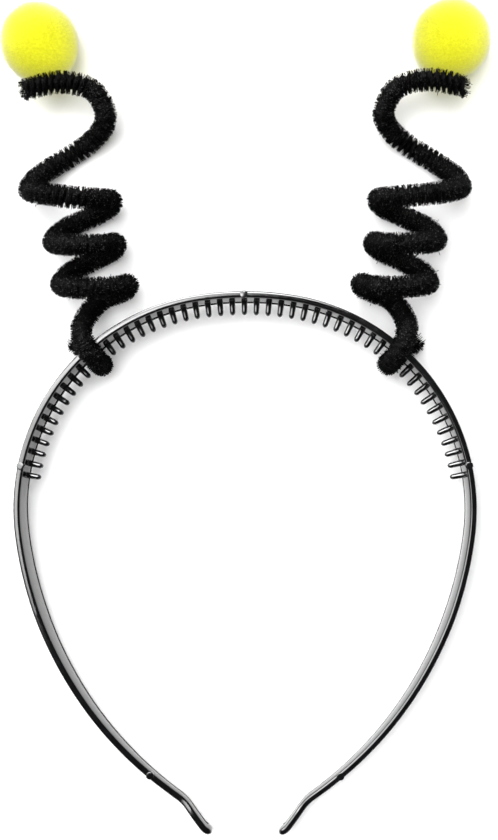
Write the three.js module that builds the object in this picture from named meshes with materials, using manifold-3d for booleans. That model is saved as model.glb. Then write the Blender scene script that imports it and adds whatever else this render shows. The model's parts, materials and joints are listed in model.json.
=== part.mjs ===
// Antenna headband: a moulded plastic band with comb teeth, and two chenille stems that are
// wrapped onto its shoulders, wound into springs and tipped with a pompom each.
// Millimetres. It lies on its side on the surface z = 0, with X across the head, Y from the
// band's tips to its crown and Z up. The origin is the middle of its box, on that surface.
import * as THREE from "three";
import { mergeVertices } from "three/addons/utils/BufferGeometryUtils.js";
import Module from "manifold-3d";

// The gap that touching pieces keep.
const CLEARANCE = 0.3;

// The band: a strip on edge, as wide as it stands above the surface it lies on.
const BAND_THICKNESS = 1.8;
const BAND_WIDTH = 11;
const TIP_WIDTH = 6.5;
const TAPER_START = 128;
const EDGE_ROUND = 0.5;
const CORNER_STEPS = 2;

// The right half of the band's middle line from the crown to the tip. A positive radius turns
// towards the head, a negative one away from it. The crown's first facet spans both halves.
const BAND_BENDS = [
  { bend: "crown", radius: 85, length: 13.8, steps: 4 },
  { bend: "shoulder", radius: 60, length: 91.8, steps: 24 },
  { bend: "arm", radius: 109, length: 89.6, steps: 15 },
  { bend: "heel", radius: -13, length: 4.3, steps: 4 },
  { bend: "toe", radius: 300, length: 6.6, steps: 2 },
  { bend: "curl", radius: 4.5, length: 3.4, steps: 5 },
];

// Comb teeth stand inwards from the middle of the band's width, one at the crown and the rest
// in mirrored rows.
const TEETH_PER_SIDE = 25;
const TOOTH_PITCH = 3.52;
const TOOTH_SIDES = 6;
const TOOTH_HALF_THICKNESS = 0.95;
const TOOTH_HALF_WIDTH = 1.3;
const TOOTH_RINGS = [
  { reach: 0.2, scale: 1 },
  { reach: 3.5, scale: 0.88 },
  { reach: 4.8, scale: 0.68 },
  { reach: 5.3, scale: 0.32 },
];

// Round ejector pads on the upper edge, by their distance from the crown.
const PAD_PLACES = [0, 85.5, -85.5, 185, -185];
const PAD_RADIUS = 1.15;
const PAD_RISE = 0.15;
const PAD_DEPTH = 1.6;
const PAD_SIDES = 10;

// Chenille stem: two strips of pile twisted round a wire.
const PILE_RADIUS = 3.1;
const PILE_VALLEY = 2.6;
const PILE_STRIPS = 2;
const PILE_TWIST = 11;
const PILE_SIDES = 8;
const PILE_STEP = 3;
const PILE_END = 0.55;

// The stem crosses the band in the gap after this many tooth pitches. Its first rows go round
// the band there: along the band away from the crown, outwards from it, and above its middle.
const WRAP_PLACE = 13.5 * TOOTH_PITCH;
const WRAP_SEAT = BAND_WIDTH / 2 + 2;
const WRAP_ROUTE = [
  { place: "cut end", along: 1.8, out: 5.4, above: 0.6 - WRAP_SEAT },
  { place: "under the band", along: 0.8, out: 0.2, above: -WRAP_SEAT },
  { place: "lower bend", along: 0.2, out: -3.9, above: -5 },
  { place: "between the teeth", along: 0, out: -5, above: 0 },
  { place: "upper bend", along: 0, out: -3.9, above: 5 },
  { place: "over the band", along: -0.4, out: 0, above: WRAP_SEAT },
  { place: "lead out", along: -1.8, out: 3.8, above: 6.6 },
  { place: "lead down", along: -4, out: 6.8, above: 2.2 },
];

// The spring's turns, from one side to the other: each row is a side of the coil, out from the
// middle of the head and up from the crown. It winds over the front between an inner and an
// outer row and behind between an outer and an inner one. Lean is how far that half turn tips
// towards the band as it comes forward, or from it as it goes back, as a share of its depth.
const COIL_SIDES = [
  { side: "outer", out: 50, up: -7.5, lean: 0.25 },
  { side: "inner", out: 32.8, up: 3.3, lean: 0.25 },
  { side: "outer", out: 51.6, up: 3.7, lean: 0.25 },
  { side: "inner", out: 36.3, up: 14.9, lean: 0.25 },
  { side: "outer", out: 53.8, up: 15.7, lean: 0.25 },
  { side: "inner", out: 37.5, up: 27, lean: 0.25 },
  { side: "outer", out: 60.6, up: 30.5, lean: 0.1 },
  { side: "inner", out: 39.1, up: 51.6, lean: 0 },
];
const COIL_DEPTH = 8.8;
const COIL_STEPS = 6;
const COIL_START = 0.5;
const FLOOR_SLACK = 0.1;
const COIL_AXIS = PILE_RADIUS + FLOOR_SLACK + COIL_DEPTH;

// The stem's end runs along the pompom: out, up, and height above the surface.
const STEM_END = [
  { place: "last bend", out: 42.2, up: 57.4, height: 13.2 },
  { place: "top", out: 49, up: 59.6, height: 14.2 },
  { place: "under the pompom", out: 55, up: 59.3, height: 14.3 },
  { place: "cut end", out: 61.3, up: 57.8, height: 14 },
];

// Pompom: a ball of pile whose tufts are fused to a head.
const POMPOM_RADIUS = 11;
const POMPOM_TUFT = 0.7;
const POMPOM_DETAIL = 3;
const POMPOM_PLACE = { out: 58, up: 71.8, height: POMPOM_RADIUS + FLOOR_SLACK };

const wasm = await Module();
wasm.setup();

const HALF_LENGTH = BAND_BENDS.reduce((sum, { length }) => sum + length, 0);

// The band's middle line at a signed distance from the crown, with its way along and outwards.
function bandAt(distance) {
  const side = distance < 0 ? -1 : 1;
  let rest = Math.abs(distance);
  let heading = 0;
  let x = 0;
  let y = 0;
  for (const { radius, length } of BAND_BENDS) {
    const run = Math.min(rest, length);
    const turn = run / radius;
    const chord = 2 * radius * Math.sin(turn / 2);
    x += chord * Math.cos(heading + turn / 2);
    y -= chord * Math.sin(heading + turn / 2);
    heading += turn;
    rest -= run;
  }
  return {
    point: new THREE.Vector3(side * x, y, 0),
    along: new THREE.Vector3(side * Math.cos(heading), -Math.sin(heading), 0),
    out: new THREE.Vector3(side * Math.sin(heading), Math.cos(heading), 0),
  };
}

// A point given in the band's own directions at a place on it.
function besideBand({ point, along, out }, alongBy, outBy, above) {
  const place = point.clone().addScaledVector(along, alongBy).addScaledVector(out, outBy);
  place.z += above;
  return place;
}

function bandWidthAt(distance) {
  const past = Math.max(0, Math.abs(distance) - TAPER_START);
  return THREE.MathUtils.lerp(BAND_WIDTH, TIP_WIDTH, past / (HALF_LENGTH - TAPER_START));
}

// The surface that the band lies on, seen from the band's own upright frame: it meets the tips
// and the stem where that passes under the shoulders.
const TIP_UP = bandAt(HALF_LENGTH).point.y;
const WRAP_UP = bandAt(WRAP_PLACE).point.y;
const REST_SLOPE = (WRAP_SEAT + PILE_RADIUS - TIP_WIDTH / 2) / (WRAP_UP - TIP_UP);

function aboveFloor(up, height) {
  return height - TIP_WIDTH / 2 - (up - TIP_UP) * REST_SLOPE;
}

// A closed skin over rings of equal count, with a point in the middle of each end.
function loft(rings) {
  const count = rings[0].length;
  const middleOf = (ring) =>
    ring.reduce((sum, point) => sum.add(point), new THREE.Vector3()).divideScalar(count);
  const last = rings.length - 1;
  const points = [...rings.flat(), middleOf(rings[0]), middleOf(rings[last])];
  const firstCap = points.length - 2;
  const lastCap = points.length - 1;
  const faces = [];
  for (let i = 0; i < count; i++) {
    const next = (i + 1) % count;
    for (let ring = 0; ring < last; ring++) {
      const here = ring * count;
      const beyond = here + count;
      faces.push(here + i, here + next, beyond + i);
      faces.push(here + next, beyond + next, beyond + i);
    }
    faces.push(firstCap, next, i);
    faces.push(lastCap, last * count + i, last * count + next);
  }
  return new THREE.BufferGeometry().setFromPoints(points).setIndex(faces);
}

function solidOf(geometry) {
  const bare = geometry.clone();
  bare.deleteAttribute("normal");
  bare.deleteAttribute("uv");
  const merged = mergeVertices(bare, 1e-3);
  return new wasm.Manifold(
    new wasm.Mesh({
      numProp: 3,
      vertProperties: new Float32Array(merged.attributes.position.array),
      triVerts: new Uint32Array(merged.index.array),
    }),
  );
}

function geometryOf(solid) {
  const { vertProperties, triVerts } = solid.getMesh();
  const geometry = new THREE.BufferGeometry();
  geometry.setAttribute("position", new THREE.BufferAttribute(vertProperties, 3));
  geometry.setIndex(new THREE.BufferAttribute(triVerts, 1));
  geometry.computeVertexNormals();
  return geometry;
}

// The band's section at a place: a rectangle with rounded corners.
function bandRing(distance, grow) {
  const frame = bandAt(distance);
  const halfThickness = BAND_THICKNESS / 2 + grow;
  const halfWidth = bandWidthAt(distance) / 2 + grow;
  const ring = [];
  for (let corner = 0; corner < 4; corner++) {
    const outSide = corner === 0 || corner === 3 ? 1 : -1;
    const upSide = corner < 2 ? 1 : -1;
    for (let step = 0; step <= CORNER_STEPS; step++) {
      const angle = (Math.PI / 2) * (corner + step / CORNER_STEPS);
      const outBy = outSide * (halfThickness - EDGE_ROUND) + EDGE_ROUND * Math.cos(angle);
      const above = upSide * (halfWidth - EDGE_ROUND) + EDGE_ROUND * Math.sin(angle);
      ring.push(besideBand(frame, 0, outBy, above));
    }
  }
  return ring;
}

function bandStrip(grow) {
  const places = [];
  let start = 0;
  for (const { length, steps } of BAND_BENDS) {
    for (let step = 1; step <= steps; step++) {
      const place = start + (length * step) / steps;
      places.push(place);
      places.unshift(-place);
    }
    start += length;
  }
  return solidOf(loft(places.map((place) => bandRing(place, grow))));
}

function tooth(index, grow) {
  const frame = bandAt(index * TOOTH_PITCH);
  const side = index < 0 ? -1 : 1;
  const rings = TOOTH_RINGS.map(({ reach, scale }, level) => {
    const isTip = level === TOOTH_RINGS.length - 1;
    return Array.from({ length: TOOTH_SIDES }, (_, i) => {
      const angle = (2 * Math.PI * i) / TOOTH_SIDES;
      const alongBy = side * (TOOTH_HALF_THICKNESS * scale + grow) * Math.cos(angle);
      const above = (TOOTH_HALF_WIDTH * scale + grow) * Math.sin(angle);
      return besideBand(frame, alongBy, isTip ? -reach - grow : -reach, above);
    });
  });
  return solidOf(loft(rings));
}

function ejectorPad(distance) {
  const { point } = bandAt(distance);
  const pad = new THREE.CylinderGeometry(PAD_RADIUS, PAD_RADIUS, PAD_DEPTH, PAD_SIDES);
  pad.rotateX(Math.PI / 2);
  const top = bandWidthAt(distance) / 2 + PAD_RISE;
  pad.translate(point.x, point.y, top - PAD_DEPTH / 2);
  return solidOf(pad);
}

// The whole moulding. Its strip and teeth are grown for the clearance of what is wrapped on them.
function bandSolid(grow) {
  let band = bandStrip(grow);
  for (let index = -TEETH_PER_SIDE; index <= TEETH_PER_SIDE; index++) {
    band = band.add(tooth(index, grow));
  }
  for (const place of PAD_PLACES) {
    band = band.add(ejectorPad(place));
  }
  return band;
}

// The spring's half turns as points. Each swings from one side of the coil to the other, and
// its turns lean back as it goes over the front.
function coilPoints() {
  const points = [];
  for (let row = 0; row < COIL_SIDES.length - 1; row++) {
    const from = COIL_SIDES[row];
    const to = COIL_SIDES[row + 1];
    const front = from.side === "inner" ? 1 : -1;
    const begin = row === 0 ? COIL_START * COIL_STEPS : 0;
    for (let step = begin; step < COIL_STEPS; step++) {
      const share = step / COIL_STEPS;
      const swing = (1 - Math.cos(Math.PI * share)) / 2;
      const depth = front * COIL_DEPTH * Math.sin(Math.PI * share);
      const out = THREE.MathUtils.lerp(from.out, to.out, swing);
      const up = THREE.MathUtils.lerp(from.up, to.up, share) - from.lean * depth;
      points.push(new THREE.Vector3(out, up, aboveFloor(up, COIL_AXIS + depth)));
    }
  }
  return points;
}

// The middle line of the right stem from its cut end under the band to its end at the pompom.
function stemCurve() {
  const frame = bandAt(WRAP_PLACE);
  const wrap = WRAP_ROUTE.map(({ along, out, above }) => besideBand(frame, along, out, above));
  const lastSide = COIL_SIDES[COIL_SIDES.length - 1];
  const ending = [{ ...lastSide, height: COIL_AXIS }, ...STEM_END].map(
    ({ out, up, height }) => new THREE.Vector3(out, up, aboveFloor(up, height)),
  );
  return new THREE.CatmullRomCurve3([...wrap, ...coilPoints(), ...ending], false, "centripetal");
}

// The pile round the wire: its strips show as two ribs that wind along it.
function stemSolid(curve, grow) {
  const length = curve.getLength();
  const steps = Math.round(length / PILE_STEP);
  const { normals, binormals } = curve.computeFrenetFrames(steps, false);
  const rings = normals.map((normal, i) => {
    const middle = curve.getPointAt(i / steps);
    const winding = (2 * Math.PI * PILE_STRIPS * length * i) / (steps * PILE_TWIST);
    const trim = i === 0 || i === steps ? PILE_END : 0;
    return Array.from({ length: PILE_SIDES }, (_, side) => {
      const angle = (2 * Math.PI * side) / PILE_SIDES;
      const rib = (1 + Math.cos(PILE_STRIPS * angle - winding)) / 2;
      const radius = THREE.MathUtils.lerp(PILE_VALLEY, PILE_RADIUS, rib) + grow - trim;
      return middle
        .clone()
        .addScaledVector(normal, radius * Math.cos(angle))
        .addScaledVector(binormals[i], radius * Math.sin(angle));
    });
  });
  return solidOf(loft(rings));
}

// A ball whose facets each carry a three-sided tuft.
function pompomSolid() {
  const head = new THREE.IcosahedronGeometry(POMPOM_RADIUS - POMPOM_TUFT, POMPOM_DETAIL);
  const corners = head.getAttribute("position");
  const points = [];
  for (let face = 0; face < corners.count; face += 3) {
    const [a, b, c] = [0, 1, 2].map((i) => new THREE.Vector3().fromBufferAttribute(corners, face + i));
    const tuft = a.clone().add(b).add(c).setLength(POMPOM_RADIUS);
    points.push(a, b, tuft, b, c, tuft, c, a, tuft);
  }
  const { out, up, height } = POMPOM_PLACE;
  const ball = new THREE.BufferGeometry().setFromPoints(points);
  ball.translate(out, up, aboveFloor(up, height));
  return solidOf(ball);
}

const blackPlastic = new THREE.MeshStandardMaterial({ color: 0x0c0c0d, roughness: 0.18, metalness: 0 });
const blackPile = new THREE.MeshStandardMaterial({ color: 0x131315, roughness: 0.95, metalness: 0 });
const yellowPile = new THREE.MeshStandardMaterial({ color: 0xf2ee10, roughness: 0.9, metalness: 0 });

function named(name, geometry, material) {
  const mesh = new THREE.Mesh(geometry, material);
  mesh.name = name;
  return mesh;
}

const curve = stemCurve();
const stem = geometryOf(stemSolid(curve, 0).subtract(bandSolid(CLEARANCE)));
const pompom = geometryOf(pompomSolid().subtract(stemSolid(curve, CLEARANCE)));

const headband = new THREE.Group();
headband.add(named("headband", geometryOf(bandSolid(0)), blackPlastic));
for (const [side, mirror] of [["right", 1], ["left", -1]]) {
  const antenna = new THREE.Group();
  antenna.add(named(`stem_${side}`, stem, blackPile));
  antenna.add(named(`pompom_${side}`, pompom, yellowPile));
  antenna.scale.x = mirror;
  headband.add(antenna);
}

// Lay it on the surface: tips down, shoulders held up by the stems under them.
headband.rotation.x = Math.atan(REST_SLOPE);
const box = new THREE.Box3().setFromObject(headband, true);
headband.position.set(0, -(box.min.y + box.max.y) / 2, -box.min.z);

const part = new THREE.Group();
part.add(headband);

export default part;
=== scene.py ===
"""Looks of the antenna headband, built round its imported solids."""
import json
import math

import bpy
import numpy as np
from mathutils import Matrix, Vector


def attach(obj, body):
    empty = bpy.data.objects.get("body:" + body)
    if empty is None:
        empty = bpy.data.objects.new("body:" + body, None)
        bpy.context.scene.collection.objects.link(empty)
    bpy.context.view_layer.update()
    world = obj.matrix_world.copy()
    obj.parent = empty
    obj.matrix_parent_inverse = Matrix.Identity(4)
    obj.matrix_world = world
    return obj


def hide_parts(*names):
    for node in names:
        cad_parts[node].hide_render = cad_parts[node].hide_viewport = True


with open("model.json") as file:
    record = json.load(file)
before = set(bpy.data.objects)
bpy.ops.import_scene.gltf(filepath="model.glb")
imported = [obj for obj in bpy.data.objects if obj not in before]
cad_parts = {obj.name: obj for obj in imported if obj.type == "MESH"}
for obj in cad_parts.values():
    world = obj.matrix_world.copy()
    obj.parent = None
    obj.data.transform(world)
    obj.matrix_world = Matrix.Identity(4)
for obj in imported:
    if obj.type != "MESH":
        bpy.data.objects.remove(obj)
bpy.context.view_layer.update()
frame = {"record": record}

# Lengths are millimetres in the band's own upright frame: X across the head, Y up from the crown's
# middle line, Z along the band's width. Meshes are written in metres, in the frame of the solids.
MM = 0.001

# The band: bends of the right half of its middle line, from the crown to the tip.
BAND_BENDS = [
    {"bend": "crown", "radius": 85.0, "length": 13.8},
    {"bend": "shoulder", "radius": 60.0, "length": 91.8},
    {"bend": "arm", "radius": 109.0, "length": 89.6},
    {"bend": "heel", "radius": -13.0, "length": 4.3},
    {"bend": "toe", "radius": 300.0, "length": 6.6},
    {"bend": "curl", "radius": 4.5, "length": 3.4},
]
HALF_LENGTH = sum(row["length"] for row in BAND_BENDS)
BAND_THICKNESS = 1.8
BAND_WIDTH = 11.0
TIP_WIDTH = 6.5
TAPER_START = 128.0
EDGE_ROUND = 0.55
WALL_BULGE = 0.08
TIP_ROUND = 1.6
HEEL_DIP = {"place": 195.0, "depth": 1.3, "before": 20.0, "after": 5.0}
LIP = {"radius": 0.44, "out": -1.0, "from_edge": 0.5, "sides": 12}
LIP_FADE = {"start": 55.0, "over": 40.0, "thinned": 0.6}
TIP_LEAN = 0.11
TIP_TUCK = {"share": 0.5, "thickness_most": 0.75, "width": 1.6}
# An edge's rounding takes at most this share of the half section.
EDGE_ROUND_MOST = 0.95
# Steps round a corner, down the inner wall, round a tip and along the band.
CORNER_STEPS = 7
WALL_STEPS = 10
TIP_STEPS = 8
BAND_STEP = 0.7
# A rounded end stops this share of the way round, so that its last ring isn't a point.
TIP_CLOSED = 0.98
TOOTH_CLOSED = 0.97

# Comb teeth inside the arch, and round ejector pads on the upper edge.
TEETH_PER_SIDE = 25
TOOTH_PITCH = 3.52
TOOTH_ROOT = 0.3
TOOTH_REACH = 5.3
TOOTH_ROUND = 0.95
TOOTH_HALF_THICKNESS = 0.92
TOOTH_HALF_WIDTH = 1.15
TOOTH_TAPER = {"along": 0.2, "above": 0.1}
TOOTH_FILLET = {"along": 0.12, "above": 1.2, "fade": 0.6}
TOOTH_SIDES = 24
TOOTH_STEPS = {"straight": 8, "end": 7}
PAD_PLACES = (0.0, 85.5, -85.5, 185.0, -185.0)
PAD_RADIUS = 1.12
PAD_RISE = 0.15
PAD_DEPTH = 1.6
PAD_BEVEL = 0.22
PAD_BEVEL_STEPS = 4
PAD_SIDES = 32

# The right stem's route, as in the solids. Round the band: along it, out from it, above its middle.
WRAP_TEETH = 13.5
WRAP_PLACE = WRAP_TEETH * TOOTH_PITCH
WRAP_STANDOFF = 2.0
WRAP_SEAT = BAND_WIDTH / 2 + WRAP_STANDOFF
WRAP_ROUTE = [
    {"along": 1.8, "out": 5.4, "above": 0.6 - WRAP_SEAT},
    {"along": 0.8, "out": 0.2, "above": -WRAP_SEAT},
    {"along": 0.2, "out": -3.9, "above": -5.0},
    {"along": 0.0, "out": -5.0, "above": 0.0},
    {"along": 0.0, "out": -3.9, "above": 5.0},
    {"along": -0.4, "out": 0.0, "above": WRAP_SEAT},
    {"along": -1.8, "out": 3.8, "above": 6.6},
    {"along": -4.0, "out": 6.8, "above": 2.2},
]
# The spring's sides in turn, and its end along the pompom.
COIL_SIDES = [
    {"side": "outer", "out": 50.0, "up": -7.5, "lean": 0.25},
    {"side": "inner", "out": 32.8, "up": 3.3, "lean": 0.25},
    {"side": "outer", "out": 51.6, "up": 3.7, "lean": 0.25},
    {"side": "inner", "out": 36.3, "up": 14.9, "lean": 0.25},
    {"side": "outer", "out": 53.8, "up": 15.7, "lean": 0.25},
    {"side": "inner", "out": 37.5, "up": 27.0, "lean": 0.25},
    {"side": "outer", "out": 60.6, "up": 30.5, "lean": 0.1},
    {"side": "inner", "out": 39.1, "up": 51.6, "lean": 0.0},
]
STEM_END = [
    {"out": 42.2, "up": 57.4, "height": 13.2},
    {"out": 49.0, "up": 59.6, "height": 14.2},
    {"out": 55.0, "up": 59.3, "height": 14.3},
    {"out": 61.3, "up": 57.8, "height": 14.0},
]
PILE_RADIUS = 3.1
FLOOR_SLACK = 0.1
FLOOR_TOUCH = 0.02
COIL_DEPTH = 8.8
COIL_AXIS = PILE_RADIUS + FLOOR_SLACK + COIL_DEPTH
COIL_STEPS = 6
SPLINE_SAMPLES = 40
PATH_STEP = 0.3
# A direction that the stem's cut end doesn't point in, to start its frame from.
FIRST_ACROSS = (0.3, 0.2, 1.0)

# Chenille pile: cut fibre that stands out from a twisted wire, parted by one winding groove.
TWIST = 1.75
CORE_RADIUS = 2.45
CORE_GROOVE = 1.2
CORE_GROOVE_WIDTH = 0.3
CORE_GROOVE_LEAST = 0.15
CORE_ROUGHNESS = 0.13
CORE_SIDES = 20
BLUNT_FIBRES = 28000
POINTED_FIBRES = 12500
FIBRE_HALF_WIDTH = 0.115
FIBRE_WIDTH_SHARES = (0.7, 1.2)
FIBRE_ROOT = 1.7
FIBRE_UNEVEN = 0.04
STRAY_SHARE = 0.003
STRAY_REACH = (1.1, 1.3)
# The groove's half widths on tight bends and straight runs, the bend that shuts it, and its ragged sides.
GROOVE_TIGHT = 0.05
GROOVE_OPEN = 0.36
GROOVE_UNEVEN = (0.3, 1.7)
GROOVE_RAGGED = (0.7, 1.3)
GROOVE_DIP = {"depth": 0.25, "width": 0.3}
OPENING_BEND = 0.09
BEND_WINDOW = 15
# Fibre ends are drawn together in small clumps.
CLUMP = 0.6
CLUMP_CENTRE = (0.2, 0.8)
CLUMP_PULL = 0.4
# Some fibres get a painted glint in their colour, most of all on the upper side of bends.
PAINTED_GLINT_SHARE = {"anywhere": 0.05, "on_bends": 0.75}
# Painted shine of glinting and of dull fibres, and the painted shade at their roots.
PAINTED_SHINE_AND_SHADE = {"glint": (0.7, 1.0), "dull": (0.1, 0.6), "root": 0.1}
# The pile leans over the stem's cut ends in a loose brush.
END_BRUSH = 1.2
END_FADE = 2.4
END_LEAN = 1.2
END_LEAN_SHARES = (0.07, 1.0)
END_FLARE = {"wrap": -2.4, "pompom": 1.8}
END_UNEVEN = (0.5, 1.4)
# The pile stays out of the band: the stretch of band looked at, and the tries at a shorter fibre.
BAND_CLEARANCE = 0.12
BAND_NEAR = BAND_THICKNESS + 2.0
WRAP_SPAN = 12.0
WRAP_SAMPLES = 97
DRAW_BACK = {"least": 0.2, "tries": 17, "step": 0.05}

# Pompom: a ball of short cut pile.
POMPOM_RADIUS = 11.0
POMPOM_PLACE = {"out": 58.0, "up": 71.8, "height": POMPOM_RADIUS + FLOOR_SLACK}
POMPOM_CORE = 10.0
POMPOM_CORE_DETAIL = 6
POMPOM_ROUGHNESS = 0.09
POMPOM_FIBRES = 43000
POMPOM_FIBRE_HALF_WIDTH = 0.065
POMPOM_PILE = {"root": 0.3, "least": -0.35, "spread": 0.95, "lean": 0.05}
POMPOM_SWELLS = [
    {"height": 0.10, "waves": (3.1, 5.3, 2.2), "start": 1.0},
    {"height": 0.08, "waves": (7.7, -4.1, 6.3), "start": 0.0},
]
# Painted shade deep in the pompom: its core and fibre roots darker; each fibre tip takes a random tone.
POMPOM_PAINTED_SHADE_AND_TONE = {"core": 0.4, "root": 0.2, "tips": (0.55, 1.0)}
# Share of a fibre's own normal in its shading, against that of the whole ball.
POMPOM_OWN_SHADE = 0.35
# How far the stem sinks into the ball and into its pile, and how closely that is worked out.
STEM_BED = {"core": 0.2, "pile": 0.35}
STEM_NEAR = POMPOM_RADIUS + PILE_RADIUS + 2.0
BED_ROUNDS = 6
BED_STRIDE = 6

# The photograph's frame and the view straight down on it.
FRAME_HEIGHT_PX = 840
FOCAL_PX = 1250
SENSOR = 36.0
REFERENCE_HEIGHT = 13.0
REFERENCE_DEPTH = 350.0
VIEW_CENTRE = (1.35, 0.45)
CAMERA_SHIFT = (0.02, -0.10)
CAMERA_LEAN = 1.2
CLIP_START = 0.01

# Studio light: bearings from +X and elevations in degrees, metres, and radiance against white at 1.
# Key and fill light every surface, rim and bounce the pompoms alone, and softbox and overhead shine in
# the gloss. A profile gives places along a lamp's length, from 0 to 1, and the share of its radiance there.
LIGHTS = [
    {"name": "key", "bearing": 140, "elevation": 77, "distance": 1.0, "size": (0.75, 0.75),
     "radiance": 7.9, "diffuse": True},
    {"name": "rim", "bearing": 135, "elevation": 24, "distance": 0.7, "size": (1.0, 0.5),
     "radiance": 3.0, "diffuse": True, "only_on": "yellow_pile"},
    {"name": "bounce", "bearing": 5, "elevation": 25, "distance": 0.7, "size": (1.0, 0.5),
     "radiance": 3.6, "diffuse": True, "only_on": "yellow_pile"},
    {"name": "fill", "bearing": 135, "elevation": 84, "distance": 1.3, "size": (2.4, 2.4),
     "radiance": 1.0, "diffuse": True},
    {"name": "softbox", "bearing": 150, "elevation": 46, "distance": 0.7, "size": (2.1, 1.13),
     "radiance": 34.0, "diffuse": False,
     "profile": [(0.0, 0.3), (0.15, 0.7), (0.25, 1.0), (0.39, 1.0), (0.425, 0.35), (0.437, 0.2),
                 (0.468, 0.22), (0.486, 0.35), (0.508, 0.62), (0.53, 0.6), (0.555, 0.45),
                 (0.575, 0.25), (0.6, 0.4), (0.63, 0.35), (0.68, 0.1), (0.73, 0.0)]},
    {"name": "overhead", "bearing": 151, "elevation": 81, "distance": 0.6, "size": (0.11, 0.12),
     "radiance": 4.0, "diffuse": False},
]
FLOOR_SIZE = 6.0
# The table's glow grows from one distance to another, in metres from its middle.
TABLE_GLOW = {"From Min": 0.3, "From Max": 1.6, "To Min": 0.1, "To Max": 0.9}
# The surroundings as a light, and as the camera sees them.
WORLD_LIGHT = 0.04
WORLD_SEEN = 1.2

X_AXIS = np.array([1.0, 0.0, 0.0])
MIRROR = np.array([-1.0, 1.0, 1.0])
# Ways whose Z is over this share count as steep.
STEEP = 0.9
# Most values of a noise texture lie in this range.
NOISE_RANGE = (0.3, 0.7)
# Each pile point's place from root to tip, carrying the piles' painted shade and shine and a random tone.
PAINTED_LIGHT_LAYER = "tip"
PILE_SEEDS = {"right": 11, "left": 12}
PIECES_BY_SLOT = {}


def band_at(distance):
    """The band's middle line at signed distances from the crown: points, ways along, ways out."""
    distance = np.asarray(distance, float)
    side = np.where(distance < 0, -1.0, 1.0)
    rest = np.abs(distance)
    heading = np.zeros_like(rest)
    x = np.zeros_like(rest)
    y = np.zeros_like(rest)
    for row in BAND_BENDS:
        run = np.minimum(rest, row["length"])
        turn = run / row["radius"]
        chord = 2 * row["radius"] * np.sin(turn / 2)
        x += chord * np.cos(heading + turn / 2)
        y -= chord * np.sin(heading + turn / 2)
        heading += turn
        rest = rest - run
    flat = np.zeros_like(x)
    point = np.stack([side * x, y, flat], -1)
    along = np.stack([side * np.cos(heading), -np.sin(heading), flat], -1)
    out = np.stack([side * np.sin(heading), np.cos(heading), flat], -1)
    return point, along, out


def band_width_at(distance):
    """The band's width at signed distances from the crown, less and less down each arm."""
    past = np.clip(np.abs(distance) - TAPER_START, 0, None) / (HALF_LENGTH - TAPER_START)
    return BAND_WIDTH + (TIP_WIDTH - BAND_WIDTH) * past


def tip_lean_at(distance):
    """How far the band's section leans in, more and more down each arm."""
    return TIP_LEAN * np.clip((np.abs(distance) - TAPER_START) / (HEEL_DIP["place"] - TAPER_START), 0, 1)


def heel_dip_at(distance):
    """How far the band's upper edge dips before the heel of each tip."""
    past = np.abs(distance) - HEEL_DIP["place"]
    span = np.where(past < 0, HEEL_DIP["before"], HEEL_DIP["after"])
    return HEEL_DIP["depth"] * np.exp(-((past / span) ** 2))


# The mount on the crown's outer facet places the band's own frame in the frame of the solids. That
# facet reaches a quarter of the crown's bend to each side.
CROWN_MOUNT = frame["record"]["mounts"][0]
CROWN_RADIUS = BAND_BENDS[0]["radius"]
CROWN_FACET_TURN = BAND_BENDS[0]["length"] / 4 / CROWN_RADIUS
CROWN_FACET_SAG = CROWN_RADIUS * (math.cos(CROWN_FACET_TURN) - 1)
CROWN_FACET_OUT = CROWN_FACET_SAG + BAND_THICKNESS / 2 * math.cos(CROWN_FACET_TURN)
CROWN_MOUNT_BELOW = 1.0
OUTWARD = np.array(CROWN_MOUNT["axis"])
UPWARD = np.cross(X_AXIS, OUTWARD)
ORIGIN = np.array(CROWN_MOUNT["pos_m"]) / MM - CROWN_FACET_OUT * OUTWARD + CROWN_MOUNT_BELOW * UPWARD


def to_row(points):
    """Points of the band's frame, in metres in the frame of the solids."""
    turned = points[:, :1] * X_AXIS + points[:, 1:2] * OUTWARD + points[:, 2:3] * UPWARD
    return (ORIGIN + turned) * MM


# The band rests on its tips and on the stems that pass under its shoulders, so it slopes.
TIP_UP = band_at(HALF_LENGTH)[0][1]
WRAP_UP = band_at(WRAP_PLACE)[0][1]
REST_SLOPE = (WRAP_SEAT + PILE_RADIUS - TIP_WIDTH / 2) / (WRAP_UP - TIP_UP)


def above_floor(up, height):
    """The Z in the band's frame of a place some way up it, at a height over the floor."""
    return height - TIP_WIDTH / 2 - (up - TIP_UP) * REST_SLOPE


def lifted_to_floor(points):
    """Points of the band's frame, with those below the floor lifted onto it."""
    height = ORIGIN[2] + points[:, 1] * OUTWARD[2] + points[:, 2] * UPWARD[2]
    lifted = points.copy()
    lifted[:, 2] += np.clip(FLOOR_TOUCH - height, 0, None) / UPWARD[2]
    return lifted


def loft(rings):
    """A closed skin over rings of points, with a fan at each end: points and triangles."""
    count, sides, _ = rings.shape
    points = np.concatenate([rings.reshape(-1, 3), rings[:1].mean(1), rings[-1:].mean(1)])
    here = np.arange(sides)
    after = (here + 1) % sides
    start = (np.arange(count - 1) * sides)[:, None]
    lower = np.stack([start + here, start + after, start + sides + here], -1)
    upper = np.stack([start + after, start + sides + after, start + sides + here], -1)
    last = (count - 1) * sides
    first_cap = np.stack([np.full(sides, count * sides), after, here], -1)
    last_cap = np.stack([np.full(sides, count * sides + 1), last + here, last + after], -1)
    return points, np.concatenate([lower.reshape(-1, 3), upper.reshape(-1, 3), first_cap, last_cap])


def joined(parts):
    """Several skins as one: points and triangles."""
    points = []
    faces = []
    count = 0
    for part_points, part_faces in parts:
        points.append(part_points)
        faces.append(part_faces + count)
        count += len(part_points)
    return np.concatenate(points), np.concatenate(faces)


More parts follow.
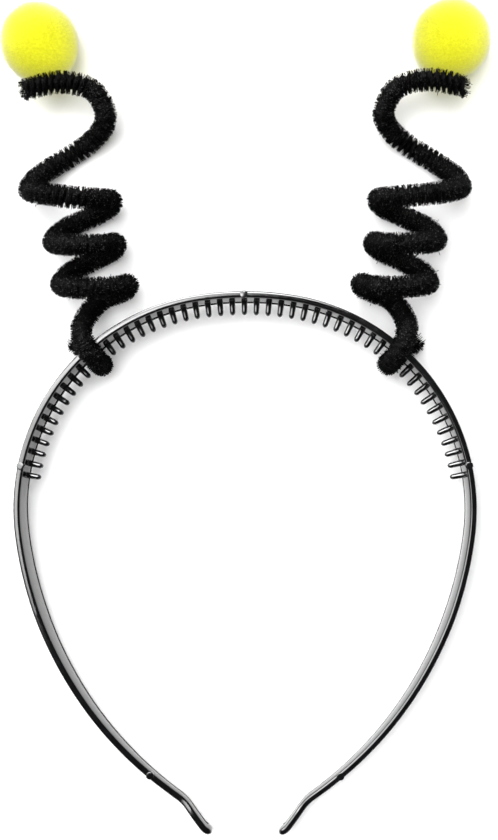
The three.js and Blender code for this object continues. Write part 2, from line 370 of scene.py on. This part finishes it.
def add_piece(name, points, faces, material, slot, node, smooth=True, tip=None):
    """A mesh object that rides on the part and stands for one of its solids."""
    mesh = bpy.data.meshes.new(name)
    mesh.from_pydata(to_row(points), [], faces)
    if tip is not None:
        layer = mesh.attributes.new(PAINTED_LIGHT_LAYER, "FLOAT", "POINT")
        layer.data.foreach_set("value", tip.astype(np.float32))
    mesh.polygons.foreach_set("use_smooth", np.full(len(mesh.polygons), smooth))
    mesh.materials.append(material)
    piece = bpy.data.objects.new(name, mesh)
    bpy.context.scene.collection.objects.link(piece)
    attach(piece, "root")
    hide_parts(node)
    PIECES_BY_SLOT.setdefault(slot, []).append(piece)
    return piece


def new_material(name):
    """A node material, its node tree and its shader."""
    material = bpy.data.materials.new(name)
    material.use_nodes = True
    tree = material.node_tree
    return material, tree, tree.nodes["Principled BSDF"]


def noise(tree, scale, detail):
    """A noise over the object's own coordinates, its scale in waves per metre."""
    place = tree.nodes.new("ShaderNodeTexCoord")
    texture = tree.nodes.new("ShaderNodeTexNoise")
    texture.inputs["Scale"].default_value = scale
    texture.inputs["Detail"].default_value = detail
    tree.links.new(place.outputs["Object"], texture.inputs["Vector"])
    return texture.outputs["Fac"]


def spread(tree, value, low, high):
    """A noise's values spread between two numbers."""
    node = tree.nodes.new("ShaderNodeMapRange")
    node.inputs["From Min"].default_value = NOISE_RANGE[0]
    node.inputs["From Max"].default_value = NOISE_RANGE[1]
    node.inputs["To Min"].default_value = low
    node.inputs["To Max"].default_value = high
    tree.links.new(value, node.inputs["Value"])
    return node.outputs["Result"]


def ramp(tree, value, stops):
    """A colour ramp of (place, colour) stops."""
    node = tree.nodes.new("ShaderNodeValToRGB")
    elements = node.color_ramp.elements
    while len(elements) < len(stops):
        elements.new(0.5)
    for element, (place, colour) in zip(elements, stops):
        element.position = place
        element.color = (*colour, 1.0)
    tree.links.new(value, node.inputs["Fac"])
    return node.outputs["Color"]


def bump(tree, shader, height, strength, distance):
    """Gives a shader a fine relief, its distance in metres."""
    node = tree.nodes.new("ShaderNodeBump")
    node.inputs["Strength"].default_value = strength
    node.inputs["Distance"].default_value = distance
    tree.links.new(height, node.inputs["Height"])
    tree.links.new(node.outputs["Normal"], shader.inputs["Normal"])


def pile_colour(tree, stops, patch):
    """A pile's colour: stops from its roots to its tips, with painted shade and shine, times a patchy tint.
    """
    tip = tree.nodes.new("ShaderNodeAttribute")
    tip.attribute_name = PAINTED_LIGHT_LAYER
    node = tree.nodes.new("ShaderNodeMix")
    node.data_type = "RGBA"
    node.blend_type = "MULTIPLY"
    node.inputs["Factor"].default_value = 1.0
    tree.links.new(ramp(tree, tip.outputs["Fac"], stops), node.inputs["A"])
    tree.links.new(patch, node.inputs["B"])
    return node.outputs["Result"]


def plastic_material():
    """Black gloss plastic with the faint waves and haze of a cheap moulding."""
    material, tree, shader = new_material("gloss_black_plastic")
    stops = [(0.3, (0.002, 0.002, 0.002)), (0.7, (0.005, 0.005, 0.0055))]
    haze = spread(tree, noise(tree, scale=500, detail=5), low=0.07, high=0.15)
    tree.links.new(ramp(tree, noise(tree, scale=260, detail=4), stops), shader.inputs["Base Color"])
    tree.links.new(haze, shader.inputs["Roughness"])
    bump(tree, shader, noise(tree, scale=420, detail=3), strength=0.12, distance=0.0001)
    shader.inputs["IOR"].default_value = 1.5
    return material


def chenille_material():
    """Black nylon pile: painted shade darker at its roots, and a painted glint along some of its fibres."""
    material, tree, shader = new_material("black_chenille_pile")
    # Painted shade at the roots and the core, up to a painted glint on the brightest fibres.
    stops = [
        (0.0, (0.0004, 0.0004, 0.0004)),
        (0.62, (0.002, 0.002, 0.0021)),
        (1.0, (0.1, 0.1, 0.101)),
    ]
    patch_stops = [(0.3, (0.5, 0.5, 0.5)), (0.7, (1.0, 1.0, 1.0))]
    patch = ramp(tree, noise(tree, scale=900, detail=3), patch_stops)
    roughness = spread(tree, noise(tree, scale=2500, detail=2), low=0.5, high=0.75)
    tree.links.new(pile_colour(tree, stops, patch), shader.inputs["Base Color"])
    tree.links.new(roughness, shader.inputs["Roughness"])
    shader.inputs["Specular IOR Level"].default_value = 0.03
    return material


def pompom_material():
    """Neon yellow pile: olive painted shade deep down, mottled, with a painted glow and a pale sheen."""
    material, tree, shader = new_material("neon_yellow_pile")
    # Painted shade: olive deep in the pile, yellow towards the tips.
    stops = [
        (0.0, (0.38, 0.38, 0.0)),
        (0.45, (0.59, 0.58, 0.01)),
        (0.75, (0.68, 0.68, 0.02)),
        (1.0, (0.74, 0.74, 0.05)),
    ]
    patch_stops = [(0.4, (0.88, 0.88, 0.0)), (0.62, (1.0, 1.0, 1.0))]
    patch = ramp(tree, noise(tree, scale=1400, detail=3), patch_stops)
    colour = pile_colour(tree, stops, patch)
    roughness = spread(tree, noise(tree, scale=3000, detail=2), low=0.8, high=0.95)
    tree.links.new(colour, shader.inputs["Base Color"])
    # Painted glow: the pile's colour is emitted, lifting its shaded side, though it is no lamp.
    tree.links.new(colour, shader.inputs["Emission Color"])
    shader.inputs["Emission Strength"].default_value = 0.5
    tree.links.new(roughness, shader.inputs["Roughness"])
    shader.inputs["Specular IOR Level"].default_value = 0.03
    shader.inputs["Sheen Weight"].default_value = 1.0
    shader.inputs["Sheen Roughness"].default_value = 0.5
    shader.inputs["Sheen Tint"].default_value = (1.0, 1.0, 1.0, 1.0)
    return material


def round_end(steps, closed):
    """Sines of the steps round an end, from a straight side to nearly its point."""
    return np.sin(np.linspace(0, math.pi / 2, steps + 1)[1:] * closed)


def rounded_section(half_thickness, half_width):
    """A band section's outline for each place: round corners and a bulged inner wall, out and above."""
    radius = np.minimum(EDGE_ROUND, EDGE_ROUND_MOST * np.minimum(half_thickness, half_width))
    out = []
    above = []
    for corner in range(4):
        out_side = 1 if corner in (0, 3) else -1
        up_side = 1 if corner < 2 else -1
        for step in range(CORNER_STEPS + 1):
            angle = math.pi / 2 * (corner + step / CORNER_STEPS)
            out.append(out_side * (half_thickness - radius) + radius * math.cos(angle))
            above.append(up_side * (half_width - radius) + radius * math.sin(angle))
        if corner == 1:
            for share in np.linspace(1, -1, WALL_STEPS + 1)[1:-1]:
                out.append(-half_thickness)
                above.append(share * (half_width - radius))
    out = np.stack(out, -1)
    above = np.stack(above, -1)
    inner = np.clip(-out / half_thickness[:, None], 0, 1)
    bulge = WALL_BULGE * half_width[:, None] * (1 - (above / half_width[:, None]) ** 2)
    return out - inner * bulge, above


def band_strip():
    """The band itself, its tips rounded off."""
    plain_end = HALF_LENGTH - TIP_ROUND
    plain = np.linspace(-plain_end, plain_end, int(2 * plain_end / BAND_STEP))
    rounding = plain_end + TIP_ROUND * round_end(TIP_STEPS, TIP_CLOSED)
    places = np.concatenate([-rounding[::-1], plain, rounding])
    into_tip = np.clip((np.abs(places) - plain_end) / TIP_ROUND, 0, 1)
    tuck = TIP_ROUND * TIP_TUCK["share"] * (1 - np.sqrt(1 - into_tip**2))
    half_thickness = BAND_THICKNESS / 2 - np.minimum(tuck, TIP_TUCK["thickness_most"])
    dip = heel_dip_at(places)
    half_width = (band_width_at(places) - dip) / 2 - TIP_TUCK["width"] * tuck
    point, _, out = band_at(places)
    section_out, section_above = rounded_section(half_thickness, half_width)
    section_out = section_out - tip_lean_at(places)[:, None] * section_above
    rings = point[:, None] + section_out[..., None] * out[:, None]
    rings[..., 2] += section_above - dip[:, None] / 2
    return loft(rings)


def far_edge_lip():
    """A fine bead moulded along the inner side of the band's lower edge."""
    plain_end = HALF_LENGTH - TIP_ROUND
    places = np.linspace(-plain_end, plain_end, int(2 * HALF_LENGTH / BAND_STEP))
    point, _, out = band_at(places)
    angle = np.arange(LIP["sides"]) * 2 * math.pi / LIP["sides"]
    faded = np.clip((np.abs(places) - LIP_FADE["start"]) / LIP_FADE["over"], 0, 1)
    radius = LIP["radius"] * (1 - LIP_FADE["thinned"] * faded)
    out_by = LIP["out"] + np.outer(radius, np.cos(angle))
    above = LIP["from_edge"] - band_width_at(places)[:, None] / 2 + np.outer(radius, np.sin(angle))
    rings = point[:, None] + (out_by - tip_lean_at(places)[:, None] * above)[..., None] * out[:, None]
    rings[..., 2] += above
    return loft(rings)


def tooth(index):
    """One comb tooth: a tapering peg with a fillet at its root and a round end."""
    point, along, out = band_at(index * TOOTH_PITCH)
    side = -1 if index < 0 else 1
    straight_end = TOOTH_REACH - TOOTH_ROUND
    straight = np.linspace(TOOTH_ROOT, straight_end, TOOTH_STEPS["straight"] + 1)
    ending = straight_end + TOOTH_ROUND * round_end(TOOTH_STEPS["end"], TOOTH_CLOSED)
    reach = np.concatenate([straight, ending])
    into_end = np.clip((reach - TOOTH_REACH + TOOTH_ROUND) / TOOTH_ROUND, 0, 1)
    fillet = np.exp(-np.clip(reach - BAND_THICKNESS / 2, 0, None) / TOOTH_FILLET["fade"])
    share = reach / TOOTH_REACH
    ends = np.sqrt(1 - into_end**2)
    angle = np.arange(TOOTH_SIDES) * 2 * math.pi / TOOTH_SIDES
    half_thickness = TOOTH_HALF_THICKNESS * (1 - TOOTH_TAPER["along"] * share) * ends
    half_thickness += TOOTH_FILLET["along"] * fillet
    half_width = TOOTH_HALF_WIDTH * (1 - TOOTH_TAPER["above"] * share) * ends
    half_width += TOOTH_FILLET["above"] * fillet
    along_by = side * np.outer(half_thickness, np.cos(angle))
    above = np.outer(half_width, np.sin(angle))
    rings = point - reach[:, None, None] * out + along_by[..., None] * along
    rings[..., 2] += above
    return loft(rings)


def ejector_pad(distance):
    """A round pad with a soft rim, let into the upper edge."""
    point, _, out = band_at(distance)
    edge = band_width_at(distance) / 2 - heel_dip_at(distance)
    point = point - tip_lean_at(distance) * edge * out
    top = edge + PAD_RISE
    bevel = np.linspace(0, math.pi / 2, PAD_BEVEL_STEPS + 1)
    radius = np.concatenate([[PAD_RADIUS], PAD_RADIUS - PAD_BEVEL * (1 - np.cos(bevel))])
    height = np.concatenate([[top - PAD_DEPTH], top - PAD_BEVEL * (1 - np.sin(bevel))])
    angle = np.arange(PAD_SIDES) * 2 * math.pi / PAD_SIDES
    ring = np.stack([np.cos(angle), np.sin(angle), np.zeros(PAD_SIDES)], -1)
    rings = point + radius[:, None, None] * ring
    rings[..., 2] += height[:, None]
    return loft(rings)


def headband_skin():
    """The whole moulding: band, lip, teeth and pads."""
    parts = [band_strip(), far_edge_lip()]
    parts += [tooth(index) for index in range(-TEETH_PER_SIDE, TEETH_PER_SIDE + 1)]
    parts += [ejector_pad(place) for place in PAD_PLACES]
    return joined(parts)


def coil_points():
    """The spring's half turns as points, from side to side of the coil; the first starts in its middle."""
    points = []
    for row, (start, stop) in enumerate(zip(COIL_SIDES[:-1], COIL_SIDES[1:])):
        front = 1 if start["side"] == "inner" else -1
        first_step = COIL_STEPS // 2 if row == 0 else 0
        for step in range(first_step, COIL_STEPS):
            share = step / COIL_STEPS
            swing = (1 - math.cos(math.pi * share)) / 2
            depth = front * COIL_DEPTH * math.sin(math.pi * share)
            out = start["out"] + (stop["out"] - start["out"]) * swing
            up = start["up"] + (stop["up"] - start["up"]) * share - start["lean"] * depth
            points.append((out, up, above_floor(up, COIL_AXIS + depth)))
    return points


def route_points():
    """The points that the right stem's middle line passes, from its cut end to the pompom."""
    point, along, out = band_at(WRAP_PLACE)
    wrap = [point + row["along"] * along + row["out"] * out + [0, 0, row["above"]] for row in WRAP_ROUTE]
    ending = [{**COIL_SIDES[-1], "height": COIL_AXIS}] + STEM_END
    end = [(row["out"], row["up"], above_floor(row["up"], row["height"])) for row in ending]
    return np.array([*wrap, *coil_points(), *end])


def smooth_path(points):
    """A centripetal spline through points, sampled evenly: points and their distances along it."""
    ends = np.concatenate([[2 * points[0] - points[1]], points, [2 * points[-1] - points[-2]]])
    share = np.linspace(0, 1, SPLINE_SAMPLES, endpoint=False)[:, None]
    samples = []
    for before, start, stop, after in zip(ends[:-3], ends[1:-2], ends[2:-1], ends[3:]):
        d0 = math.sqrt(np.linalg.norm(start - before))
        d1 = math.sqrt(np.linalg.norm(stop - start))
        d2 = math.sqrt(np.linalg.norm(after - stop))
        t1 = d1 * ((start - before) / d0 - (stop - before) / (d0 + d1) + (stop - start) / d1)
        t2 = d1 * ((stop - start) / d1 - (after - start) / (d1 + d2) + (after - stop) / d2)
        bend = -3 * start + 3 * stop - 2 * t1 - t2
        close = 2 * start - 2 * stop + t1 + t2
        samples.append(start + t1 * share + bend * share**2 + close * share**3)
    dense = np.concatenate([*samples, points[-1:]])
    run = np.concatenate([[0], np.cumsum(np.linalg.norm(np.diff(dense, axis=0), axis=1))])
    even = np.linspace(0, run[-1], int(run[-1] / PATH_STEP))
    return np.stack([np.interp(even, run, dense[:, axis]) for axis in range(3)], -1), even


def path_frames(points):
    """Directions along a path and two across it that turn as little as they can."""
    along = np.gradient(points, axis=0)
    along /= np.linalg.norm(along, axis=1, keepdims=True)
    across = np.zeros_like(along)
    across[0] = np.cross(along[0], FIRST_ACROSS)
    across[0] /= np.linalg.norm(across[0])
    for i in range(1, len(points)):
        across[i] = across[i - 1] - along[i] * np.dot(across[i - 1], along[i])
        across[i] /= np.linalg.norm(across[i])
    return along, across, np.cross(along, across)


def spikes(root, end, half_width):
    """Thin three-sided fibres from root to end: points and triangles."""
    count = len(root)
    way = end - root
    way /= np.linalg.norm(way, axis=1, keepdims=True)
    helper = np.where(np.abs(way[:, 2:]) < STEEP, [[0.0, 0.0, 1.0]], [[1.0, 0.0, 0.0]])
    side = np.cross(way, helper)
    side /= np.linalg.norm(side, axis=1, keepdims=True)
    other = np.cross(way, side)
    corners = []
    for corner in range(3):
        angle = corner * 2 * math.pi / 3
        corners.append(root + half_width[:, None] * (math.cos(angle) * side + math.sin(angle) * other))
    points = np.stack([*corners, end], 1).reshape(-1, 3)
    pattern = np.array([(0, 1, 3), (1, 2, 3), (2, 0, 3), (0, 2, 1)])
    faces = (np.arange(count) * 4)[:, None, None] + pattern
    return points, faces.reshape(-1, 3)


def inside_band(points):
    """Which points lie in the band near the place where the stem crosses it, with a clearance."""
    near = np.linspace(WRAP_PLACE - WRAP_SPAN, WRAP_PLACE + WRAP_SPAN, WRAP_SAMPLES)
    centre, _, out = band_at(near)
    gap = np.linalg.norm(points[:, None, :2] - centre[None, :, :2], axis=2)
    nearest = gap.argmin(1)
    outward = np.sum((points - centre[nearest]) * out[nearest], axis=1)
    in_reach = gap.min(1) < BAND_NEAR
    half_thickness = BAND_THICKNESS / 2 + BAND_CLEARANCE
    bulge = WALL_BULGE * BAND_WIDTH / 2
    in_strip = (outward < half_thickness) & (outward > -half_thickness - bulge)
    in_width = np.abs(points[:, 2]) < BAND_WIDTH / 2 + BAND_CLEARANCE
    return in_reach & in_strip & in_width


def kept_out_of_band(root, end):
    """Ends drawn back towards their roots to where they leave the band."""
    kept = end.copy()
    near = np.linalg.norm(end - band_at(WRAP_PLACE)[0], axis=1) < BAND_WIDTH + PILE_RADIUS
    start = root[near]
    way = end[near] - start
    reach = np.ones(len(start))
    for share in np.linspace(1.0, DRAW_BACK["least"], DRAW_BACK["tries"]):
        reach[inside_band(start + way * share)] = share - DRAW_BACK["step"]
    kept[near] = start + way * reach[:, None]
    return kept


def groove_distance(place, turn):
    """How far along the stem the nearest turn of the groove lies, for places and turns on the pile."""
    phase = (turn - 2 * math.pi * place / TWIST + math.pi) % (2 * math.pi) - math.pi
    return np.abs(phase) * TWIST / (2 * math.pi)


def groove_width(along, rng):
    """Half widths of the groove along a stem: shut on its bends and unevenly open on its straight runs."""
    bend = np.linalg.norm(np.gradient(along, axis=0), axis=1) / PATH_STEP
    window = np.hanning(BEND_WINDOW)
    bend = np.convolve(bend, window / window.sum(), "same")
    turns = np.arange(len(bend)) * PATH_STEP / TWIST
    knots = np.arange(int(turns[-1]) + 2)
    uneven = np.interp(turns, knots, rng.uniform(*GROOVE_UNEVEN, len(knots)))
    opening = (GROOVE_OPEN - GROOVE_TIGHT) * uneven
    return GROOVE_TIGHT + opening * np.exp(-((bend / OPENING_BEND) ** 2))


def stem_core(path, run, frames, groove, rng):
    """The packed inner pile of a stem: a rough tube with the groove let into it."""
    _, across, over = frames
    turn = np.arange(CORE_SIDES) * 2 * math.pi / CORE_SIDES
    gap = groove_distance(run[:, None], turn)
    depth = CORE_GROOVE * np.clip(groove / GROOVE_OPEN, CORE_GROOVE_LEAST, 1)[:, None]
    radius = CORE_RADIUS - depth * np.exp(-((gap / CORE_GROOVE_WIDTH) ** 2))
    radius = radius + rng.normal(0, CORE_ROUGHNESS, radius.shape)
    way = np.cos(turn)[:, None] * across[:, None] + np.sin(turn)[:, None] * over[:, None]
    rings = path[:, None] + radius[..., None] * way
    centres = np.repeat(path, CORE_SIDES, 0)
    return loft(kept_out_of_band(centres, rings.reshape(-1, 3)).reshape(rings.shape))


def stem_fibres(path, run, frames, groove, count, rng):
    """Fibres of a stem's pile, drawn together in small clumps: their roots, cut ends and painted shine."""
    along, across, over = frames
    length = run[-1]
    place = np.clip(rng.uniform(-END_BRUSH, length + END_BRUSH, count), 0, length)
    turn = rng.uniform(0, 2 * math.pi, count)
    index = np.clip(np.searchsorted(run, place), 0, len(run) - 1)
    gap = groove_distance(place, turn)
    kept = gap > groove[index] * rng.uniform(*GROOVE_RAGGED, count)

    turn_cell = CLUMP / PILE_RADIUS
    cells = (int(length / CLUMP) + 1, int(2 * math.pi / turn_cell) + 1)
    along_cell = (place / CLUMP).astype(int)
    round_cell = (turn / turn_cell).astype(int)
    centre = rng.uniform(*CLUMP_CENTRE, (*cells, 2))[along_cell, round_cell]
    slide = CLUMP_PULL * ((along_cell + centre[:, 0]) * CLUMP - place)
    tip_turn = turn + CLUMP_PULL * ((round_cell + centre[:, 1]) * turn_cell - turn)

    dip = GROOVE_DIP["depth"] * np.exp(-((gap / GROOVE_DIP["width"]) ** 2))
    reach = PILE_RADIUS * (1 + rng.normal(0, FIBRE_UNEVEN, count)) - dip
    stray = rng.uniform(0, 1, count) < STRAY_SHARE
    reach *= np.where(stray, rng.uniform(*STRAY_REACH, count), 1.0)
    near_end = np.exp(-np.minimum(place, length - place) / END_FADE)
    lean = END_LEAN * near_end * rng.uniform(*END_LEAN_SHARES, count)
    flare = np.where(place < length / 2, END_FLARE["wrap"], END_FLARE["pompom"])
    slide += flare * np.sin(lean) * rng.uniform(*END_UNEVEN, count)
    reach *= np.cos(lean)
    root_way = np.cos(turn)[:, None] * across[index] + np.sin(turn)[:, None] * over[index]
    tip_way = np.cos(tip_turn)[:, None] * across[index] + np.sin(tip_turn)[:, None] * over[index]
    root = path[index] + FIBRE_ROOT * root_way
    end = path[index] + reach[:, None] * tip_way + slide[:, None] * along[index]
    root = kept_out_of_band(path[index], root)
    end = kept_out_of_band(root, end)

    # Painted glints: a share of fibres, most on the upper side of tight bends, get a bright colour.
    shut = 1 - groove[index] / GROOVE_OPEN
    upward = np.clip(root_way[:, 2], 0, 1) ** 2
    chance = PAINTED_GLINT_SHARE["anywhere"] + PAINTED_GLINT_SHARE["on_bends"] * shut * upward
    painted_glints = rng.uniform(0, 1, count) < chance
    shine = np.where(painted_glints, rng.uniform(*PAINTED_SHINE_AND_SHADE["glint"], count), rng.uniform(*PAINTED_SHINE_AND_SHADE["dull"], count))
    return root[kept], end[kept], shine[kept]


def stem_skin(path, run, rng):
    """A chenille stem: its packed inner pile and the cut fibre that stands out from it."""
    frames = path_frames(path)
    groove = groove_width(frames[0], rng)
    core = stem_core(path, run, frames, groove, rng)
    root, end, blunt_painted_shine = stem_fibres(path, run, frames, groove, BLUNT_FIBRES, rng)
    blunt = spikes(end, root, rng.uniform(*FIBRE_WIDTH_SHARES, len(root)) * FIBRE_HALF_WIDTH)
    root, end, pointed_painted_shine = stem_fibres(path, run, frames, groove, POINTED_FIBRES, rng)
    pointed = spikes(root, end, rng.uniform(*FIBRE_WIDTH_SHARES, len(root)) * FIBRE_HALF_WIDTH)
    # Each fibre's painted shine falls to a painted shade at its root; the core takes the darkest shade.
    blunt_tip = np.outer(blunt_painted_shine, [1.0, 1.0, 1.0, PAINTED_SHINE_AND_SHADE["root"]]).ravel()
    pointed_tip = np.outer(pointed_painted_shine, [PAINTED_SHINE_AND_SHADE["root"]] * 3 + [1.0]).ravel()
    points, faces = joined([core, blunt, pointed])
    return points, faces, np.concatenate([np.zeros(len(core[0])), blunt_tip, pointed_tip])


def keep_off_stem(points, centre, path, gap):
    """Points of the pompom drawn in towards its centre where the stem lies in its pile."""
    close = path[np.linalg.norm(path - centre, axis=1) < STEM_NEAR][::BED_STRIDE]
    for _ in range(BED_ROUNDS):
        away = np.linalg.norm(points[:, None] - close[None], axis=2).min(1)
        depth = np.clip(gap - away, 0, None)
        inward = (centre - points) / np.linalg.norm(points - centre, axis=1, keepdims=True)
        points = points + inward * depth[:, None]
    return points


def pompom_skin(centre, path, rng):
    """A pompom: a soft ball and the short pile that stands on it."""
    bpy.ops.mesh.primitive_ico_sphere_add(subdivisions=POMPOM_CORE_DETAIL, radius=POMPOM_CORE)
    ball = bpy.context.object
    core_points = np.array([vertex.co[:] for vertex in ball.data.vertices])
    core_faces = np.array([face.vertices[:] for face in ball.data.polygons])
    bpy.data.objects.remove(ball)
    core_points *= 1 + rng.normal(0, POMPOM_ROUGHNESS / POMPOM_CORE, (len(core_points), 1))
    core_points = keep_off_stem(core_points + centre, centre, path, PILE_RADIUS - STEM_BED["core"])

    # Fibres stand evenly, in a spiral from pole to pole of the ball.
    count = POMPOM_FIBRES
    order = np.arange(count) + 0.5
    height = 1 - 2 * order / count
    turn = math.pi * (1 + math.sqrt(5)) * order
    flat = np.sqrt(1 - height**2)
    way = np.stack([flat * np.cos(turn), flat * np.sin(turn), height], -1)
    tip_way = way + rng.normal(0, POMPOM_PILE["lean"], (count, 3))
    tip_way /= np.linalg.norm(tip_way, axis=1, keepdims=True)
    swell = sum(row["height"] * np.sin(way @ row["waves"] + row["start"]) for row in POMPOM_SWELLS)
    length = POMPOM_PILE["least"] + POMPOM_PILE["spread"] * rng.uniform(0, 1, count) ** 2
    root = centre + way * (POMPOM_CORE - POMPOM_PILE["root"])
    end = centre + tip_way * (POMPOM_RADIUS + swell + length)[:, None]
    end = keep_off_stem(end, centre, path, PILE_RADIUS - STEM_BED["pile"])
    kept = np.linalg.norm(end - centre, axis=1) > POMPOM_CORE
    root = root[kept]
    end = end[kept]
    fibres = spikes(root, end, rng.uniform(*FIBRE_WIDTH_SHARES, len(root)) * POMPOM_FIBRE_HALF_WIDTH)
    # Each fibre tip takes a random tone, and its root and the core a painted shade.
    shade = rng.uniform(*POMPOM_PAINTED_SHADE_AND_TONE["tips"], len(root))
    fibre_tip = np.outer(shade, [POMPOM_PAINTED_SHADE_AND_TONE["root"]] * 3 + [1.0]).ravel()
    tip = np.concatenate([np.full(len(core_points), POMPOM_PAINTED_SHADE_AND_TONE["core"]), fibre_tip])
    points, faces = joined([(core_points, core_faces), fibres])
    return points, faces, tip


def shade_as_ball(piece, centre):
    """Turns a pile's shading normals most of the way towards those of a ball round its centre."""
    mesh = piece.data
    place = np.zeros(3 * len(mesh.vertices))
    own = np.zeros(3 * len(mesh.vertices))
    mesh.vertices.foreach_get("co", place)
    mesh.vertices.foreach_get("normal", own)
    ball = place.reshape(-1, 3) - to_row(centre[None])
    ball /= np.linalg.norm(ball, axis=1, keepdims=True)
    normals = ball + POMPOM_OWN_SHADE * own.reshape(-1, 3)
    normals /= np.linalg.norm(normals, axis=1, keepdims=True)
    mesh.normals_split_custom_set_from_vertices(normals)


def add_pile(kind, side, skin, centre, material, slot):
    """A stem or a pompom as a piece. Skins are made for the right, and the left ones mirror them."""
    points, faces, tip = skin
    points = lifted_to_floor(points)
    if side == "left":
        points = points * MIRROR
        faces = faces[:, ::-1]
        centre = centre * MIRROR
    node = f"{kind}_{side}"
    is_ball = kind == "pompom"
    piece = add_piece(f"{node}_pile", points, faces, material, slot, node, is_ball, tip)
    if is_ball:
        shade_as_ball(piece, centre)


def build_object():
    """The moulding, and each side's stem and pompom with a seed of their own."""
    plastic = plastic_material()
    chenille = chenille_material()
    yellow = pompom_material()
    points, faces = headband_skin()
    add_piece("headband_moulding", points, faces, plastic, "black_plastic", "headband")

    path, run = smooth_path(route_points())
    up = POMPOM_PLACE["up"]
    centre = np.array([POMPOM_PLACE["out"], up, above_floor(up, POMPOM_PLACE["height"])])
    for side, seed in PILE_SEEDS.items():
        rng = np.random.default_rng(seed)
        stem = stem_skin(path, run, rng)
        pompom = pompom_skin(centre, path, rng)
        add_pile("stem", side, stem, centre, chenille, "black_chenille")
        add_pile("pompom", side, pompom, centre, yellow, "yellow_pile")


def build_floor():
    """A plain white studio table that glows a little, and more far off, where the lights fall short."""
    material, tree, shader = new_material("studio_white")
    stops = [(0.3, (0.88, 0.88, 0.88)), (0.7, (0.9, 0.9, 0.9))]
    tree.links.new(ramp(tree, noise(tree, scale=3, detail=2), stops), shader.inputs["Base Color"])
    shader.inputs["Roughness"].default_value = 0.9
    shader.inputs["Specular IOR Level"].default_value = 0.0
    place = tree.nodes.new("ShaderNodeTexCoord")
    distance = tree.nodes.new("ShaderNodeVectorMath")
    distance.operation = "LENGTH"
    tree.links.new(place.outputs["Object"], distance.inputs["Vector"])
    glow = tree.nodes.new("ShaderNodeMapRange")
    glow.interpolation_type = "SMOOTHSTEP"
    for name, value in TABLE_GLOW.items():
        glow.inputs[name].default_value = value
    tree.links.new(distance.outputs["Value"], glow.inputs["Value"])
    tree.links.new(glow.outputs["Result"], shader.inputs["Emission Strength"])
    shader.inputs["Emission Color"].default_value = (1.0, 1.0, 1.0, 1.0)
    bpy.ops.mesh.primitive_plane_add(size=FLOOR_SIZE)
    floor = bpy.context.object
    floor.name = "studio_floor"
    floor.data.materials.append(material)


def fade_along(light, profile):
    """Gives a lamp a strength that changes along its length: places from 0 to 1, shares of the whole."""
    light.use_nodes = True
    tree = light.node_tree
    surface = tree.nodes.new("ShaderNodeNewGeometry")
    split = tree.nodes.new("ShaderNodeSeparateXYZ")
    tree.links.new(surface.outputs["Parametric"], split.inputs["Vector"])
    level = ramp(tree, split.outputs["X"], [(place, (share,) * 3) for place, share in profile])
    tree.links.new(level, tree.nodes["Emission"].inputs["Strength"])


def add_area_light(row):
    """A lamp that faces the part's middle, and lights surfaces or shines in their gloss."""
    light = bpy.data.lights.new(row["name"], "AREA")
    light.shape = "RECTANGLE"
    light.size, light.size_y = row["size"]
    light.energy = row["radiance"] * math.pi * light.size * light.size_y
    bearing = math.radians(row["bearing"])
    elevation = math.radians(row["elevation"])
    flat = math.cos(elevation)
    away = Vector((flat * math.cos(bearing), flat * math.sin(bearing), math.sin(elevation)))
    if "profile" in row:
        fade_along(light, row["profile"])
    lamp = bpy.data.objects.new(row["name"], light)
    lamp.location = away * row["distance"]
    lamp.rotation_euler = away.to_track_quat("Z", "Y").to_euler()
    lamp.visible_diffuse = row["diffuse"]
    lamp.visible_glossy = not row["diffuse"]
    if "only_on" in row:
        lit = bpy.data.collections.new(row["name"] + "_lit")
        for piece in PIECES_BY_SLOT[row["only_on"]]:
            lit.objects.link(piece)
        lamp.light_linking.receiver_collection = lit
    bpy.context.scene.collection.objects.link(lamp)


def build_light():
    """The lamps, pale surroundings and plain tones."""
    for row in LIGHTS:
        add_area_light(row)
    world = bpy.data.worlds.new("studio")
    world.use_nodes = True
    tree = world.node_tree
    ray = tree.nodes.new("ShaderNodeLightPath")
    level = tree.nodes.new("ShaderNodeMapRange")
    level.inputs["To Min"].default_value = WORLD_LIGHT
    level.inputs["To Max"].default_value = WORLD_SEEN
    tree.links.new(ray.outputs["Is Camera Ray"], level.inputs["Value"])
    tree.links.new(level.outputs["Result"], tree.nodes["Background"].inputs["Strength"])
    tree.nodes["Background"].inputs["Color"].default_value = (1.0, 1.0, 1.0, 1.0)
    bpy.context.scene.world = world
    bpy.context.scene.view_settings.view_transform = "Standard"


def build_camera():
    """The photograph's view: straight down from a little to the right of and below the middle."""
    camera = bpy.data.cameras.new("camera")
    camera.sensor_fit = "VERTICAL"
    camera.sensor_height = SENSOR
    camera.lens = SENSOR * FOCAL_PX / FRAME_HEIGHT_PX
    camera.shift_x = -CAMERA_SHIFT[0]
    camera.shift_y = -CAMERA_SHIFT[1]
    camera.clip_start = CLIP_START
    px = REFERENCE_DEPTH / FOCAL_PX
    slide_x = CAMERA_SHIFT[0] * FRAME_HEIGHT_PX * px
    slide_y = CAMERA_SHIFT[1] * FRAME_HEIGHT_PX * px
    lean = math.radians(CAMERA_LEAN)
    lean_slide = REFERENCE_DEPTH * math.tan(lean)
    across = VIEW_CENTRE[0] + slide_x + lean_slide
    up = VIEW_CENTRE[1] + slide_y
    viewer = bpy.data.objects.new("camera", camera)
    viewer.location = Vector((across, up, REFERENCE_HEIGHT + REFERENCE_DEPTH)) * MM
    viewer.rotation_euler = (0.0, lean, 0.0)
    bpy.context.scene.collection.objects.link(viewer)
    bpy.context.scene.camera = viewer


build_camera()
build_object()
build_floor()
build_light()
